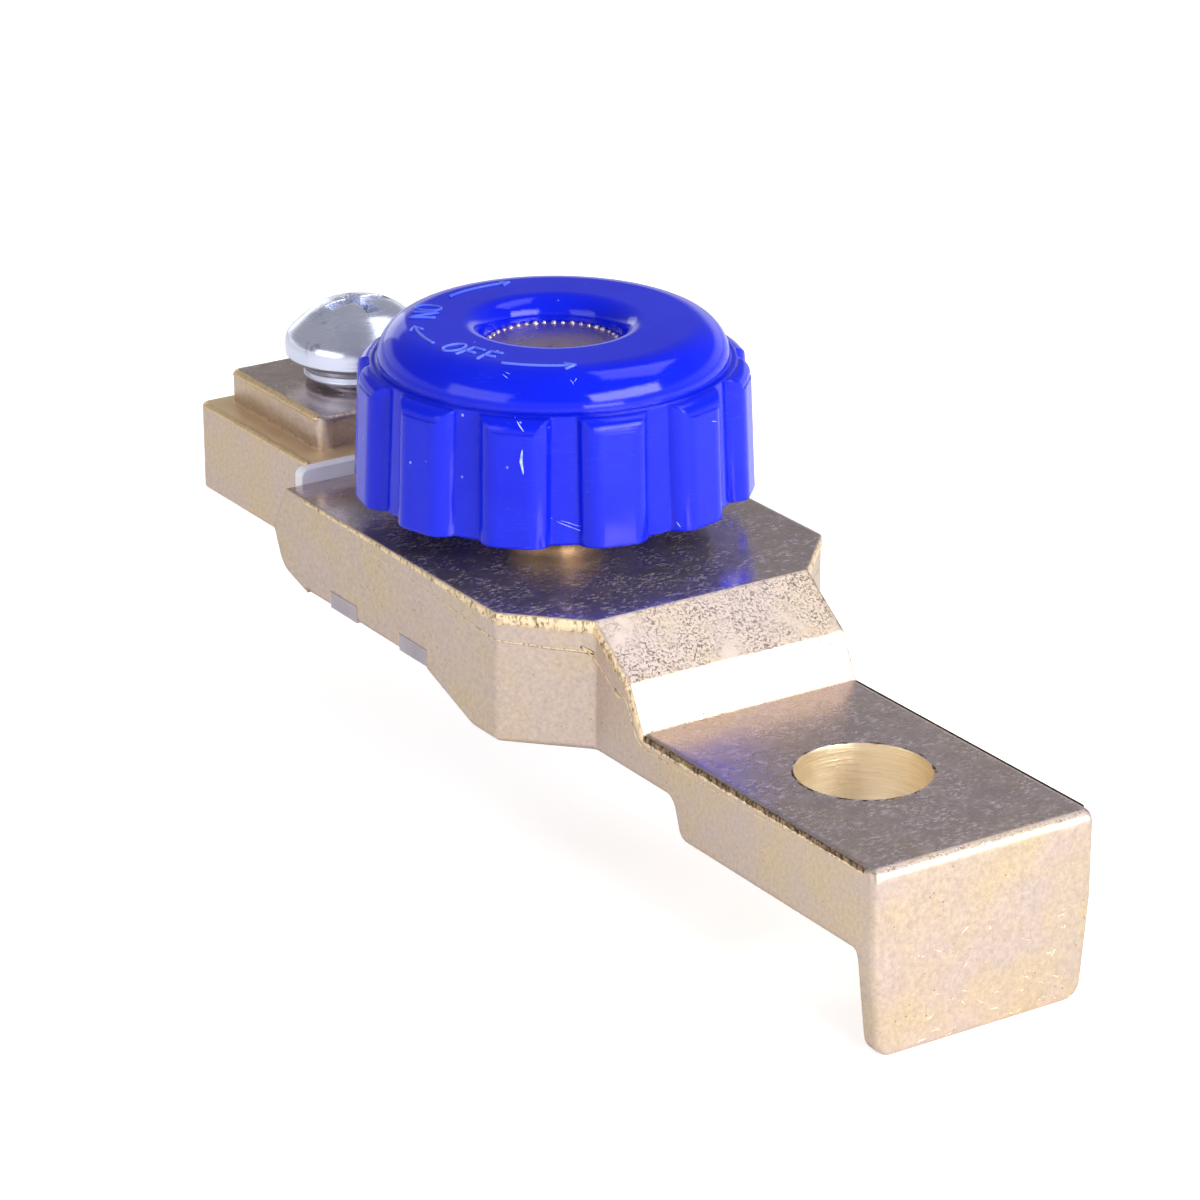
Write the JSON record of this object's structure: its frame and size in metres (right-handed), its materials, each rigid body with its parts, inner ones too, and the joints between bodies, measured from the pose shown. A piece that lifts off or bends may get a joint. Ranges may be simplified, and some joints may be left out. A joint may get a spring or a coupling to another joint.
{
  "type": "battery cut-off switch",
  "caption": "Screw-down battery cut-off switch: two insulated brass castings, a ribbed blue knob with a contact screw, a bolt tab with a folded end and a cable terminal screw.",
  "frame": {"origin": "on the axis of the battery bolt hole, at the underside of the tab", "axes": "+X along the switch towards the folded end of the tab, +Z along the bolt hole and the knob's axis, upwards, +Y to the left seen from the cable end"},
  "size_m": [0.0954, 0.0324, 0.0387],
  "materials": {
    "plated_brass": "tumbled die casting with thin pale brass plating, mirror-like on the flat tops",
    "plated_brass_cable_side": "tumbled die casting with thin pale brass plating",
    "white_nylon": "moulded nylon",
    "zinc_plated_steel": "zinc plated",
    "blue_plastic": "gloss moulded plastic with light scuffs",
    "turned_brass": "turned and knurled brass, dulled",
    "bright_zinc_screw": "bright zinc plated"
  },
  "bodies": {
    "switch_body": {"battery_side_casting": "plated_brass", "cable_side_casting": "plated_brass_cable_side", "insulator_liner": "white_nylon", "insulator_plate": "white_nylon", "plate_screw_front_left": "zinc_plated_steel", "plate_screw_front_right": "zinc_plated_steel", "plate_screw_rear_left": "zinc_plated_steel", "plate_screw_rear_right": "zinc_plated_steel"},
    "contact_pad_body": {"contact_pad": "turned_brass"},
    "knob_body": {"knob": "blue_plastic", "contact_screw": "turned_brass"},
    "terminal_washer_body": {"terminal_spring_washer": "bright_zinc_screw"},
    "terminal_screw_body": {"terminal_screw": "bright_zinc_screw"}
  },
  "joints": [
    {"name": "contact_travel", "type": "slide", "parent": "switch_body", "child": "contact_pad_body", "axis": [0, 0, 1], "range_m": [0, 0.00187]},
    {"name": "knob_turn", "type": "hinge", "parent": "contact_pad_body", "child": "knob_body", "pos_m": [-0.043, 0, 0.02], "axis": [0, 0, 1], "range_deg": [0, 540]},
    {"name": "terminal_travel", "type": "slide", "parent": "switch_body", "child": "terminal_washer_body", "axis": [0, 0, 1], "range_m": [-0.0005, 0.005]},
    {"name": "terminal_screw_turn", "type": "hinge", "parent": "terminal_washer_body", "child": "terminal_screw_body", "pos_m": [-0.0712, -0.0019, 0.02], "axis": [0, 0, 1], "range_deg": [-180, 1800]}
  ],
  "couplings": [
    {"joint": "knob_turn", "follows": "contact_travel", "rad_per_m": 5026.5},
    {"joint": "terminal_screw_turn", "follows": "terminal_travel", "rad_per_m": 6283.2}
  ]
}
